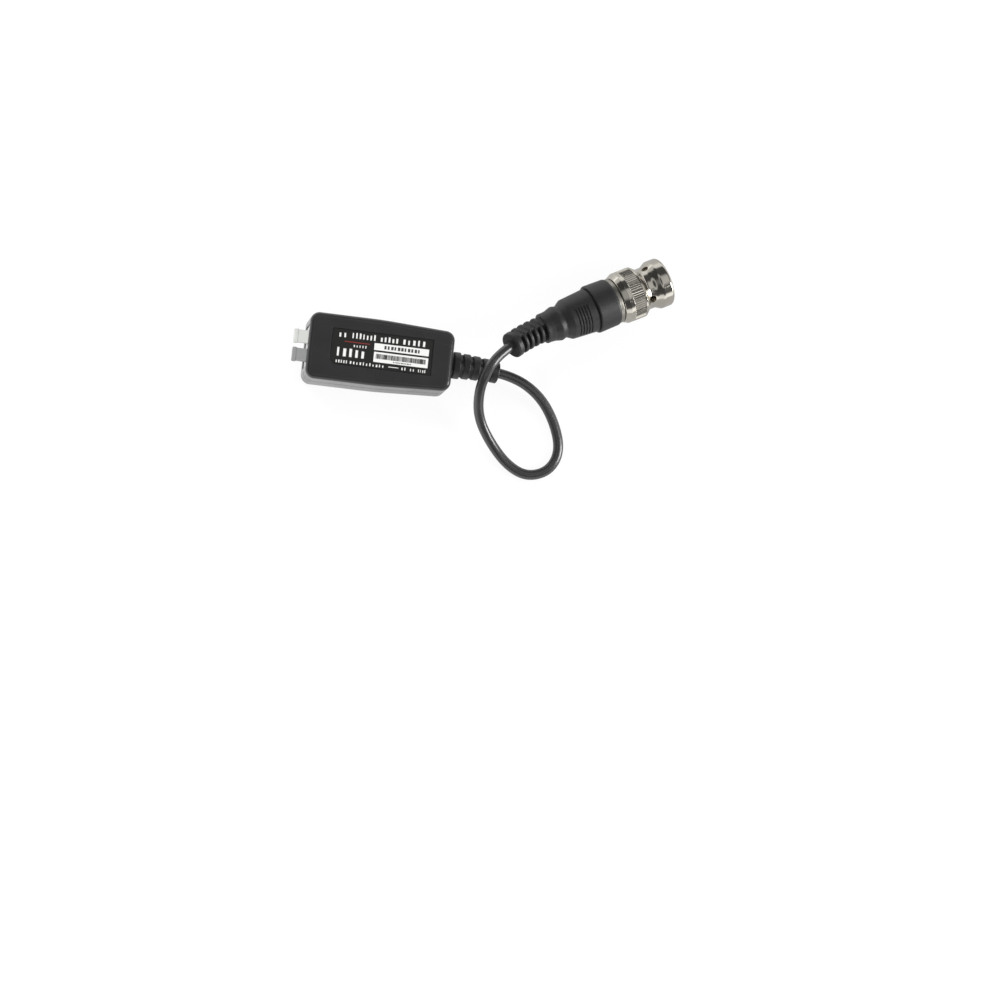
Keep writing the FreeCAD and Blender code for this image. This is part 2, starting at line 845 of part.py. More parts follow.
def boot_tail(path):
    """The flexible ribs of the boot, threaded on the cable's own bend."""
    small_end = path_length(path) - jacket_end
    end_ring = disc(tail_end_ring, tail_ring_radius, 0.4)
    pieces = [placed(end_ring, station(path, small_end))]
    start = tail_end_ring
    for number in range(tail_rib_count):
        webs = web_pair(tail_groove, tail_ring_radius - tail_web_inset, tail_web_width, tail_web_turn_deg)
        pieces.append(placed(webs, station(path, small_end + start)))
        start += tail_groove
        last = number == tail_rib_count - 1
        length = tail_last_rib if last else tail_rib_pitch - tail_groove
        radius = tail_last_rib_radius if last else tail_ring_radius
        pieces.append(placed(disc(length, radius, 0.3), station(path, small_end + start)))
        start += length
    pieces.append(tube_along(stretch(path, small_end + 0.3, small_end + start), tail_core_radius))
    return fused(pieces)


def boot_handle():
    """The stiff part of the boot: bulb, tapered grip and collar."""
    seam_end = grip_end + seam_width
    seam_floor = grip_end_radius - seam_depth
    bulb_crest = bulb_end - bulb_rounding
    grip = turned([
        (bulb_root, 0), (boot_end, 0), (boot_end, boot_end_radius), (seam_end, boot_collar_radius),
        (seam_end, seam_floor), (grip_end, seam_floor), (grip_end, grip_end_radius),
        (shoulder_end, grip_start_radius), (shoulder_start, waist_radius), (bulb_end, waist_radius),
        (bulb_crest, bulb_radius), (bulb_start + 1.0, bulb_radius - 0.6), (bulb_root, tail_last_rib_radius)
    ])
    grip = round_rims(grip, [
        (boot_end, boot_end_radius, boot_end_rounding), (seam_end, boot_collar_radius, collar_rounding),
        (grip_end, grip_end_radius, 0.15), (shoulder_end, grip_start_radius, shoulder_rounding),
        (bulb_crest, bulb_radius, bulb_rounding)
    ])
    grooves = []
    for number in range(thumb_groove_count):
        start = thumb_groove_first + number * thumb_groove_pitch
        share = (start - shoulder_end) / (grip_end - shoulder_end)
        surface = grip_start_radius + share * (grip_end_radius - grip_start_radius)
        end = start + thumb_groove_width
        floor = surface - thumb_groove_depth
        corners = [V(start, floor, 0), V(end, floor, 0), V(end, surface + 1, 0), V(start, surface + 1, 0)]
        section = Part.Face(Part.makePolygon(corners + corners[:1]))
        arc = section.revolve(V(0, 0, 0), V(1, 0, 0), thumb_groove_spread_deg)
        for side in (0, 180):
            grooves.append(around_x(arc, thumb_groove_turn_deg + side - thumb_groove_spread_deg / 2))
    return grip.cut(Part.makeCompound(grooves))


def ferrule_envelope():
    corner = ferrule_across_flats / math.sqrt(3)
    points = []
    for number in range(6):
        angle = math.radians(60 * number)
        points.append(V(ferrule_start, corner * math.cos(angle), corner * math.sin(angle)))
    return Part.Face(Part.makePolygon(points + points[:1])).extrude(V(ferrule_end - ferrule_start, 0, 0))


def crimp_ferrule():
    over_jacket = ring(ferrule_start - 1, jacket_end, 0, cable_radius)
    over_braid = ring(jacket_end, ferrule_end + 1, 0, braid_radius)
    return ferrule_envelope().cut(over_jacket).cut(over_braid)


def rear_collar_envelope():
    key_end = key_start + key_length
    key_floor = collar_key_radius - key_depth
    return turned([
        (stem_start, 0), (collar_rim_end, 0), (collar_rim_end, collar_rim_radius),
        (collar_rim_start, collar_rim_radius), (collar_rim_start, collar_key_radius),
        (key_end, collar_key_radius), (key_end, key_floor), (key_start, key_floor),
        (key_start, collar_key_radius), (collar_start, collar_key_radius),
        (collar_start, stem_radius), (stem_start, stem_radius)
    ])


def rear_collar():
    collar = round_rims(rear_collar_envelope(), [(collar_rim_end, collar_rim_radius, 0.2)])
    collar = collar.cut(ring(stem_start - 1, body_start + 1, 0, stem_bore_radius))
    return collar.cut(ring(body_start, collar_rim_end + 1, 0, body_seat_radius))


def plug_body():
    body = turned([
        (body_start, stem_bore_radius), (insulator_back, stem_bore_radius),
        (insulator_back, inner_contact_radius), (contact_tip, inner_contact_radius),
        (contact_tip, outer_contact_radius), (gasket_front, outer_contact_radius),
        (gasket_front, gasket_seat_radius), (shoulder_front, gasket_seat_radius),
        (shoulder_front, shoulder_radius), (shoulder_back, shoulder_radius),
        (shoulder_back, body_seat_radius), (body_start, body_seat_radius)
    ])
    body = round_rims(body, [(contact_tip, outer_contact_radius, 0.25)])
    reach = outer_contact_radius + 1
    slits = []
    for number in range(contact_slit_count // 2):
        slit = box(insulator_front, contact_tip + 1, -contact_slit / 2, contact_slit / 2, -reach, reach)
        slits.append(around_x(slit, 45 + 360 / contact_slit_count * number))
    return body.cut(Part.makeCompound(slits))


def plug_insulator():
    conductor_gap = conductor_radius + 0.05
    return turned([
        (insulator_back, conductor_gap), (pin_body_start, conductor_gap), (pin_body_start, pin_body_radius),
        (insulator_front, pin_body_radius), (insulator_front, inner_contact_radius),
        (insulator_back, inner_contact_radius)
    ])


def centre_pin():
    pin = turned([
        (pin_body_start, 0), (pin_tip, 0), (pin_tip, pin_radius), (insulator_front, pin_radius),
        (insulator_front, pin_body_radius), (pin_body_start, pin_body_radius)
    ])
    pin = round_rims(pin, [(pin_tip, pin_radius, pin_radius * 0.8)])
    return pin.cut(ring(pin_body_start - 1, pin_body_start + pin_bore_depth, 0, conductor_radius + 0.02))


def gasket():
    seal = ring(shoulder_front, gasket_front, gasket_seat_radius, gasket_radius)
    return round_rims(seal, [(gasket_front, gasket_radius, 0.25)])


def thrust_washer():
    start = nut_back + nut_flange_bore_length + washer_gap
    return ring(start, start + thrust_washer_thickness, seat_bore_radius, washer_outer_radius)


def wave_washer():
    start = nut_back + nut_flange_bore_length + 2 * washer_gap + thrust_washer_thickness
    end = shoulder_back - washer_gap
    middle = (start + end) / 2
    swing = (end - start - wave_thickness) / 2
    half = wave_thickness / 2
    inner = seat_bore_radius + wave_edge_gap
    outer = washer_outer_radius - wave_edge_gap
    sections = []
    for step in range(wave_steps):
        angle = 2 * math.pi * step / wave_steps
        centre = middle + swing * math.cos(wave_count * angle)
        back = centre - half
        front = centre + half
        corners = [(back, inner), (front, inner), (front, outer), (back, outer)]
        sections.append([V(x, r * math.cos(angle), r * math.sin(angle)) for x, r in corners])
    return skinned(sections, True)


def knurl_band():
    """Straight flutes round the nut's widest part."""
    points = []
    for number in range(knurl_count * 2):
        angle = math.pi * number / knurl_count
        radius = nut_radius if number % 2 == 0 else knurl_root_radius
        points.append(V(knurl_start, radius * math.cos(angle), radius * math.sin(angle)))
    star = Part.Face(Part.makePolygon(points + points[:1])).extrude(V(knurl_end - knurl_start, 0, 0))
    return star.cut(ring(knurl_start - 1, knurl_end + 1, 0, knurl_root_radius - 0.8))


def cam_slot():
    """The way of one bayonet lug: in from the front, then round a ramp to its lock."""
    inner = nut_bore_radius - 0.4
    sections = []
    for step in range(cam_steps + 1):
        share = step / cam_steps
        angle = math.radians(lock_angle_deg + cam_sweep_deg * (1 - share))
        centre = cam_start + (lock_position - cam_start) * share
        corners = [
            (centre - cam_width / 2, inner), (centre + cam_width / 2, inner),
            (centre + cam_width / 2, cam_outer_radius), (centre - cam_width / 2, cam_outer_radius)
        ]
        sections.append([V(x, r * math.cos(angle), r * math.sin(angle)) for x, r in corners])
    ramp = skinned(sections, False)
    entry = box(cam_start, plug_length + 1, inner, cam_outer_radius, -cam_width / 2, cam_width / 2)
    entry = around_x(entry, lock_angle_deg + cam_sweep_deg)
    start_rod = rod(start_hole_radius, V(cam_start, inner, 0), V(cam_start, nut_radius, 0))
    start_hole = around_x(start_rod, lock_angle_deg + cam_sweep_deg)
    lock_rod = rod(lock_hole_radius, V(lock_position, inner, 0), V(lock_position, nut_radius, 0))
    lock_hole = around_x(lock_rod, lock_angle_deg)
    return fused([ramp, entry, start_hole, lock_hole])


def coupling_nut():
    flange_front = nut_back + nut_flange_bore_length
    nut = turned([
        (nut_back, seat_bore_radius), (flange_front, seat_bore_radius), (flange_front, nut_bore_radius),
        (plug_length, nut_bore_radius), (plug_length, lip_radius), (flare_end, lip_radius),
        (neck_end, neck_radius), (neck_start, neck_radius), (nut_front_shoulder, nut_radius),
        (knurl_end, nut_radius), (knurl_end, knurl_root_radius), (knurl_start, knurl_root_radius),
        (knurl_start, nut_radius), (nut_cone_end, nut_radius), (nut_back, nut_back_radius)
    ])
    nut = round_rims(nut, [
        (plug_length, lip_radius, lip_rounding), (flare_end, lip_radius, flare_rounding),
        (neck_end, neck_radius, neck_front_rounding), (neck_start, neck_radius, neck_back_rounding),
        (nut_back, nut_back_radius, nut_rim_rounding), (plug_length, nut_bore_radius, nut_rim_rounding)
    ])
    slot = cam_slot()
    return fused([nut, knurl_band()]).cut(slot).cut(around_x(slot, 180))


def plug_parts(path, cable):
    boot = fused([boot_tail(path), in_plug(boot_handle())])
    for inner in (cable, in_plug(ferrule_envelope()), in_plug(rear_collar_envelope())):
        boot = boot.cut(inner)
    nodes = {
        "crimp_ferrule": crimp_ferrule(),
        "rear_collar": rear_collar(),
        "plug_body": plug_body(),
        "plug_insulator": plug_insulator(),
        "centre_pin": centre_pin(),
        "gasket": gasket(),
        "thrust_washer": thrust_washer(),
        "wave_washer": wave_washer(),
        "coupling_nut": coupling_nut(),
    }
    nodes = {name: in_plug(shape) for name, shape in nodes.items()}
    nodes["plug_boot"] = boot
    return nodes


def build():
    path, radii = cable_path()
    cable = tube_along(path, cable_radius)
    length = path_length(path)
    section = math.pi * cable_radius ** 2
    filled = cable.Volume / (section * length)
    print("cable length %.2f, volume over section times length %.5f" % (length, filled))
    print("cable radii", [round(radius, 1) for radius in radii])

    dielectric, lead, drain = inner_ends_in_case()
    plug_dielectric = in_plug(ring(jacket_end, insulator_back, 0, dielectric_radius))
    plug_lead = in_plug(ring(insulator_back, pin_body_start + pin_bore_depth, 0, conductor_radius))
    plug_braid = in_plug(ring(jacket_end, ferrule_end - 0.4, stem_radius, braid_radius))

    nodes = {
        "case_bottom": case_bottom(),
        "case_top": case_top(),
        "label": label(),
        "circuit_board": circuit_board(),
        "terminal_block": terminal_block(),
        "lever_white": lever(pole_pitch / 2),
        "lever_grey": lever(-pole_pitch / 2),
        "clamp_spring_white": clamp_spring(pole_pitch / 2),
        "clamp_spring_grey": clamp_spring(-pole_pitch / 2),
        "contact_white": contact(pole_pitch / 2),
        "contact_grey": contact(-pole_pitch / 2),
        "ferrite_core": ferrite_core(),
        "camera_winding": winding(90),
        "line_winding": winding(270),
        "surge_diode": chip(*diode_box),
        "chip_capacitors": Part.makeCompound([chip(*sizes) for sizes in capacitor_boxes]),
        "chip_resistors": Part.makeCompound([chip(*sizes) for sizes in resistor_boxes]),
        "case_grommet": case_grommet(path, cable),
        "coax_cable": cable,
        "cable_dielectric": Part.makeCompound([dielectric, plug_dielectric]),
        "cable_conductor": Part.makeCompound([lead, plug_lead]),
        "cable_braid": Part.makeCompound([drain, plug_braid]),
    }
    nodes.update(plug_parts(path, cable))
    return nodes


os.makedirs("parts", exist_ok=True)
for node, solid in build().items():
    solid.exportStep("parts/%s.step" % node)
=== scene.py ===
import json
import math

import bmesh
import bpy
from mathutils import Matrix, Vector


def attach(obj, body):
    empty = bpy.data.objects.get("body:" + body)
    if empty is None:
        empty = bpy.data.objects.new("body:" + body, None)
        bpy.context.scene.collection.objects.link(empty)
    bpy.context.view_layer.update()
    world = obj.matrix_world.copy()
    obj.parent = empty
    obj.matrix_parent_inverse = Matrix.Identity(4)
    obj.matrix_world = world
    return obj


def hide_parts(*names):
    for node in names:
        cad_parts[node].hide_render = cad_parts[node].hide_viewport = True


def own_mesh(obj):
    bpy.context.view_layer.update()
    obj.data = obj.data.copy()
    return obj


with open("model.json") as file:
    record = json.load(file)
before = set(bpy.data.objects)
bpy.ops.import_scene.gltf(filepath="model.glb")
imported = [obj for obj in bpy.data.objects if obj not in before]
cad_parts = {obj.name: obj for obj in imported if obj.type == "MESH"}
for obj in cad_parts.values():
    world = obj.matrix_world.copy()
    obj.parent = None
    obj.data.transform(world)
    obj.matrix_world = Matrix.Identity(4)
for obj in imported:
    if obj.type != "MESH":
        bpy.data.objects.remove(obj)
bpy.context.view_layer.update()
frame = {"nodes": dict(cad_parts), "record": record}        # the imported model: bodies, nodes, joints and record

nodes = frame["nodes"]
MM = 0.001

# Camera, fitted to the case's corners and the label's recess
CAMERA_TURN = (-0.1108, 0.1654, -0.0986)
CAMERA_SHIFT = (-0.0344804, 0.0387259, -1.0)
CAMERA_LENS = 130.68
SENSOR_WIDTH = 36.0
CAMERA_RANGE = (0.05, 20.0)

# Cable: the route's points, in metres
CABLE_ROUTE = [
    (0.0164, 0.0, 0.0065), (0.0268, 0.0, 0.0065), (0.0384, -0.0009, 0.0053),
    (0.0462, -0.0050, 0.0036), (0.0512, -0.0117, 0.0022), (0.0537, -0.0193, 0.00145),
    (0.0513, -0.0252, 0.00142), (0.0453, -0.0276, 0.0015), (0.0394, -0.0252, 0.0018),
    (0.0337, -0.0197, 0.0036), (0.0291, -0.0135, 0.0072), (0.0279, -0.0068, 0.0124),
    (0.0294, -0.0014, 0.0151), (0.0324, 0.0035, 0.0145), (0.0401095, 0.0102250, 0.0112359),
    (0.0493386, 0.0153197, 0.0101279),
]
CABLE_DIAMETER = 0.0028
CABLE_ROUND_STEPS = 8
CABLE_STEPS_BETWEEN_POINTS = 24

# Plug axis, which the marks on turned metal follow
PLUG_FRONT = Vector((0.0772, 0.0307, 0.0067830))
PLUG_YAW = math.radians(28.9)
PLUG_TILT = math.radians(6.0)

# Label print, in millimetres: the film's face, and how far ink stands on it
LABEL_FACE = 12.85
INK_THICKNESS = 0.02
INK_SUNK = 0.005

# Plain fields of ink: x from, x to, y from, y to
WHITE_PANELS = ((-2.0, 13.1, 0.5, 2.4), (-1.9, 13.1, -2.8, 0.0))
WHITE_RULE = (2.4, 5.2, -3.8, -3.6)
RED_RULE = (-10.2, -3.2, 1.75, 1.97)

# Rows of bars: x from, x to, y from, height, how many
HEAD_ROWS = (
    (-11.8, -9.1, 2.95, 1.6, 2), (-8.2, -1.3, 2.95, 1.6, 7), (-0.4, 4.9, 2.95, 1.6, 5),
    (5.8, 12.6, 2.95, 1.6, 5),
)
BLOCK_ROWS = ((-12.0, -3.6, -2.3, 2.4, 5), (-7.6, -3.6, 0.55, 0.75, 5))
FOOT_ROWS = (
    (-12.1, -8.6, -4.15, 0.85, 5), (-8.2, 1.6, -4.15, 0.85, 11), (6.0, 7.6, -4.15, 0.85, 2),
    (8.4, 9.9, -4.15, 0.85, 2), (10.6, 12.9, -4.15, 0.85, 4),
)
PANEL_ROW = (0.8, 11.0, 0.98, 0.95, 11)
STRIPE_ROW = (-1.3, 12.5, -1.85, 1.35, 46)
FINE_ROW = (3.6, 8.6, -2.5, 0.35, 12)

# Bars: the least and most of their pitch that they fill, and the least of their row's height
TEXT_BARS = (0.30, 0.52, 0.68)
BLOCK_BARS = (0.32, 0.50, 0.72)
PANEL_BARS = (0.45, 0.75, 1.0)
STRIPE_BARS = (0.5, 0.98, 1.0)
DARK_ROWS = ((PANEL_ROW, PANEL_BARS), (STRIPE_ROW, STRIPE_BARS), (FINE_ROW, PANEL_BARS))
BLOCK_SEED = 30
DARK_SEED = 41

# Surface detail: lengths in metres, noise scales per metre. Each run of scratches has a turn and
# how much longer than wide its marks are
EDGE_ROUNDING = 0.00012
EDGE_SAMPLES = 6
LATHE_RELIEF = 0.0000015
TARNISH_SCALE = 260.0
SCRATCH_RUNS = ((0.5, 14.0), (-0.9, 18.0))
SCRATCH_SHARPNESS = 90.0
SCRATCH_PATCH_SCALE = 180.0
SCRATCH_PATCH_CONTRAST = 5.0
PLASTIC_SCRATCH_DULLING = 0.25
METAL_SCRATCH_DULLING = 0.2

# Moulded finishes by the record's material slots: the two tones, the least and most roughness,
# and what sets the finish apart from a plain moulding
PLASTICS = {
    "case_plastic": ((0.019, 0.019, 0.020), (0.025, 0.025, 0.026), 0.18, 0.30,
                     {"grain_scale": 2500.0, "grain_height": 0.000003, "scratches": 0.5}),
    "label_film": ((0.013, 0.013, 0.012), (0.018, 0.018, 0.017), 0.30, 0.42,
                   {"grain_scale": 6000.0, "grain_height": 0.000002, "scratches": 0.4, "specular": 0.3}),
    "board_laminate": ((0.015, 0.10, 0.04), (0.02, 0.14, 0.06), 0.25, 0.40, {}),
    "terminal_plastic": ((0.66, 0.67, 0.65), (0.73, 0.74, 0.72), 0.35, 0.55, {}),
    "lever_white": ((0.58, 0.59, 0.56), (0.66, 0.67, 0.64), 0.32, 0.50, {"scratches": 0.3}),
    "lever_grey": ((0.26, 0.265, 0.26), (0.32, 0.325, 0.32), 0.34, 0.52, {"scratches": 0.3}),
    "ferrite": ((0.06, 0.065, 0.065), (0.10, 0.105, 0.105), 0.6, 0.8, {}),
    "component_black": ((0.02, 0.02, 0.02), (0.04, 0.04, 0.04), 0.45, 0.65, {}),
    "component_tan": ((0.36, 0.24, 0.13), (0.46, 0.32, 0.18), 0.45, 0.6, {}),
    "soft_pvc": ((0.007, 0.007, 0.008), (0.013, 0.013, 0.014), 0.36, 0.58,
                 {"grain_scale": 3000.0, "grain_height": 0.00002, "scratches": 0.3, "specular": 0.7,
                  "flow_scale": 700.0}),
    "cable_jacket": ((0.018, 0.018, 0.019), (0.026, 0.026, 0.027), 0.20, 0.30,
                     {"grain_scale": 4000.0, "grain_height": 0.000003, "specular": 1.0}),
    "foam_dielectric": ((0.72, 0.72, 0.68), (0.8, 0.8, 0.77), 0.5, 0.7, {}),
    "acetal": ((0.75, 0.75, 0.73), (0.82, 0.82, 0.80), 0.35, 0.5, {}),
    "seal_rubber": ((0.22, 0.02, 0.015), (0.32, 0.03, 0.02), 0.45, 0.6, {}),
}

# Metal finishes by slot: the two tones, and the least and most roughness
METALS = {
    "spring_steel": ((0.42, 0.42, 0.42), (0.58, 0.58, 0.58), 0.22, 0.38),
    "tinned_brass": ((0.55, 0.53, 0.47), (0.70, 0.68, 0.62), 0.24, 0.4),
    "enamelled_copper": ((0.52, 0.18, 0.05), (0.68, 0.26, 0.09), 0.22, 0.35),
    "copper": ((0.66, 0.30, 0.16), (0.80, 0.42, 0.25), 0.25, 0.4),
    "braid_copper": ((0.52, 0.42, 0.33), (0.68, 0.58, 0.48), 0.3, 0.45),
    "nickel_plate": ((0.56, 0.53, 0.47), (0.72, 0.69, 0.62), 0.08, 0.18),
    "nickel_dull": ((0.34, 0.33, 0.29), (0.46, 0.44, 0.40), 0.28, 0.42),
    "gold_plate": ((0.72, 0.48, 0.16), (0.86, 0.62, 0.26), 0.16, 0.28),
}

# What shiny surfaces mirror: (sine of the height, grey) from the horizon to overhead, with
# a ring of soft light round the camera. The room is brighter towards +X by the lean given
HORIZON_GREY = 1.00
MIRRORED_ROOM = ((0.26, 1.00), (0.38, 0.08), (0.80, 0.06), (0.86, 0.53), (0.93, 0.53), (0.965, 0.06))
OVERHEAD_GREY = 0.07
ROOM_LEAN = 0.4
ROOM_DIMMEST = 0.5
ROOM_LIGHT = (0.55, 0.55, 0.56, 1.0)
WHITE = (1.0, 1.0, 1.0, 1.0)

# Lamps: place, size, power and whether shiny surfaces mirror them
LAMPS = {
    "key": ((-0.28, 0.42, 0.50), (0.50, 0.34), 3.6, False),
    "side": ((0.52, -0.10, 0.34), (0.30, 0.42), 0.8, False),
    "window": ((0.50, -0.02, 0.22), (0.16, 0.34), 1.6, True),
    "near": ((-0.10, -0.50, 0.30), (0.50, 0.24), 1.2, False),
}
LAMP_AIM = Vector((0.035, 0.005, 0.0))

# Floor: half its side, how far it lies under the part, and its own glow. Mirrored, the glow goes
# from the first value to the second between two places along X. The glow's share of the floor
# grows from the first value to the second between two distances, so that the horizon is white
FLOOR_REACH = 3.0
FLOOR_DROP = 0.00002
FLOOR_PAPER = (0.80, 0.80, 0.80, 1.0)
FLOOR_GLOW = 1.03
MIRRORED_GLOW = (1.5, 0.45)
MIRRORED_ALONG = (-0.06, 0.08)
GLOW_SHARE = (0.86, 1.0)
SHARE_DISTANCE = (0.15, 0.5)


# Node helpers

def socket(tree, name, kind, into, default=None):
    made = tree.interface.new_socket(name=name, in_out="INPUT" if into else "OUTPUT", socket_type=kind)
    if default is not None:
        made.default_value = default


def add(tree, kind, **values):
    node = tree.nodes.new(kind)
    for name, value in values.items():
        setattr(node, name, value)
    return node


def put(tree, value, slot):
    """Links a node's output to an input, or sets the input to a plain value."""
    if isinstance(value, bpy.types.NodeSocket):
        tree.links.new(value, slot)
    else:
        slot.default_value = value


def math_node(tree, operation, first, second, clamp=False):
    node = add(tree, "ShaderNodeMath", operation=operation, use_clamp=clamp)
    put(tree, first, node.inputs[0])
    put(tree, second, node.inputs[1])
    return node.outputs[0]


def spread(tree, value, low, high, start=0.0, end=1.0):
    """Maps start..end to low..high, and holds those beyond them."""
    node = add(tree, "ShaderNodeMapRange")
    tree.links.new(value, node.inputs["Value"])
    for name, given in (("From Min", start), ("From Max", end), ("To Min", low), ("To Max", high)):
        put(tree, given, node.inputs[name])
    return node.outputs["Result"]


def mix_colours(tree, factor, first, second):
    """The first colour where the factor is 0, and the second where it is 1."""
    node = add(tree, "ShaderNodeMix", data_type="RGBA")
    tree.links.new(factor, node.inputs["Factor"])
    put(tree, first, node.inputs["A"])
    put(tree, second, node.inputs["B"])
    return node.outputs["Result"]


def mix_shaders(tree, factor, first, second):
    """The first shader where the factor is 0, and the second where it is 1."""
    node = add(tree, "ShaderNodeMixShader")
    tree.links.new(factor, node.inputs[0])
    tree.links.new(first, node.inputs[1])
    tree.links.new(second, node.inputs[2])
    return node.outputs[0]


def noise(tree, vector, scale, detail, roughness):
    node = add(tree, "ShaderNodeTexNoise")
    tree.links.new(vector, node.inputs["Vector"])
    for name, given in (("Scale", scale), ("Detail", detail), ("Roughness", roughness)):
        put(tree, given, node.inputs[name])
    return node.outputs["Fac"]


def seen_directly(tree, path):
    """1 for what the camera sees itself or through glass."""
    return math_node(tree, "MAXIMUM", path["Is Camera Ray"], path["Is Transmission Ray"])


# Shared effects

def moulded_surface_group():
    """Grain left by the mould, with slow changes of gloss from flow and handling."""
    tree = bpy.data.node_groups.new("moulded_surface", "ShaderNodeTree")
    socket(tree, "Vector", "NodeSocketVector", True)
    socket(tree, "Grain Scale", "NodeSocketFloat", True, 9000.0)
    socket(tree, "Flow Scale", "NodeSocketFloat", True, 140.0)
    socket(tree, "Smooth Roughness", "NodeSocketFloat", True, 0.3)
    socket(tree, "Dull Roughness", "NodeSocketFloat", True, 0.5)
    socket(tree, "Height", "NodeSocketFloat", False)
    socket(tree, "Roughness", "NodeSocketFloat", False)
    socket(tree, "Flow", "NodeSocketFloat", False)
    given = add(tree, "NodeGroupInput").outputs
    result = add(tree, "NodeGroupOutput").inputs
    grain = noise(tree, given["Vector"], given["Grain Scale"], 4.0, 0.6)
    flow = noise(tree, given["Vector"], given["Flow Scale"], 5.0, 0.55)
    soft = spread(tree, flow, given["Smooth Roughness"], given["Dull Roughness"])
    tree.links.new(grain, result["Height"])
    tree.links.new(soft, result["Roughness"])
    tree.links.new(flow, result["Flow"])
    return tree


def fine_scratches_group():
    """Sparse hairline scratches from handling, in patches, as a mask."""
    tree = bpy.data.node_groups.new("fine_scratches", "ShaderNodeTree")
    socket(tree, "Vector", "NodeSocketVector", True)
    socket(tree, "Scale", "NodeSocketFloat", True, 300.0)
    socket(tree, "Amount", "NodeSocketFloat", True, 0.5)
    socket(tree, "Mask", "NodeSocketFloat", False)
    given = add(tree, "NodeGroupInput").outputs
    result = add(tree, "NodeGroupOutput").inputs
    marks = []
    for turn, stretch in SCRATCH_RUNS:
        mapping = add(tree, "ShaderNodeMapping")
        mapping.inputs["Rotation"].default_value = (0.3, 0.2, turn)
        mapping.inputs["Scale"].default_value = (1.0, stretch, 1.0)
        tree.links.new(given["Vector"], mapping.inputs["Vector"])
        lines = noise(tree, mapping.outputs["Vector"], given["Scale"], 1.0, 0.4)
        away = math_node(tree, "ABSOLUTE", math_node(tree, "SUBTRACT", lines, 0.5), 0.0)
        faded = math_node(tree, "MULTIPLY", away, SCRATCH_SHARPNESS)
        marks.append(math_node(tree, "SUBTRACT", 1.0, faded, True))
    both = math_node(tree, "MAXIMUM", marks[0], marks[1])
    patches = noise(tree, given["Vector"], SCRATCH_PATCH_SCALE, 2.0, 0.5)
    denser = math_node(tree, "SUBTRACT", patches, 0.5)
    where = math_node(tree, "MULTIPLY", denser, SCRATCH_PATCH_CONTRAST, True)
    mask = math_node(tree, "MULTIPLY", math_node(tree, "MULTIPLY", both, where), given["Amount"])
    tree.links.new(mask, result["Mask"])
    return tree


def turning_marks_group():
    """Fine rings that a lathe leaves, along the X axis of the vector given."""
    tree = bpy.data.node_groups.new("turning_marks", "ShaderNodeTree")
    socket(tree, "Vector", "NodeSocketVector", True)
    socket(tree, "Rings per Metre", "NodeSocketFloat", True, 9000.0)
    socket(tree, "Height", "NodeSocketFloat", False)
    socket(tree, "Tarnish", "NodeSocketFloat", False)
    given = add(tree, "NodeGroupInput").outputs
    result = add(tree, "NodeGroupOutput").inputs
    mapping = add(tree, "ShaderNodeMapping")
    mapping.inputs["Scale"].default_value = (1.0, 0.02, 0.02)
    tree.links.new(given["Vector"], mapping.inputs["Vector"])
    rings = noise(tree, mapping.outputs["Vector"], given["Rings per Metre"], 2.0, 0.7)
    tarnish = noise(tree, given["Vector"], TARNISH_SCALE, 4.0, 0.6)
    tree.links.new(rings, result["Height"])
    tree.links.new(tarnish, result["Tarnish"])
    return tree


MOULDED = moulded_surface_group()
SCRATCHED = fine_scratches_group()
TURNED = turning_marks_group()


# Materials

def new_material(name):
    material = bpy.data.materials.new(name)
    material.use_nodes = True
    tree = material.node_tree
    return material, tree, tree.nodes["Principled BSDF"]


def object_vector(tree, about_plug=False):
    """Object coordinates, or for what belongs to the plug, those along its axis from its front."""
    coordinates = add(tree, "ShaderNodeTexCoord").outputs["Object"]
    if not about_plug:
        return coordinates
    mapping = add(tree, "ShaderNodeMapping", vector_type="TEXTURE")
    mapping.inputs["Location"].default_value = PLUG_FRONT
    mapping.inputs["Rotation"].default_value = (0.0, PLUG_TILT, PLUG_YAW)
    tree.links.new(coordinates, mapping.inputs["Vector"])
    return mapping.outputs["Vector"]


def use_group(tree, group, vector, **values):
    node = add(tree, "ShaderNodeGroup", node_tree=group)
    tree.links.new(vector, node.inputs["Vector"])
    for name, value in values.items():
        node.inputs[name.replace("_", " ")].default_value = value
    return node.outputs


def bump(tree, shader, height, distance):
    """Surface relief, with the light rounding that real edges have."""
    edge = add(tree, "ShaderNodeBevel", samples=EDGE_SAMPLES)
    edge.inputs["Radius"].default_value = EDGE_ROUNDING
    node = add(tree, "ShaderNodeBump")
    node.inputs["Distance"].default_value = distance
    tree.links.new(height, node.inputs["Height"])
    tree.links.new(edge.outputs["Normal"], node.inputs["Normal"])
    tree.links.new(node.outputs["Normal"], shader.inputs["Normal"])


def two_tones(tree, shader, factor, first, second):
    colour = mix_colours(tree, factor, (*first, 1.0), (*second, 1.0))
    tree.links.new(colour, shader.inputs["Base Color"])


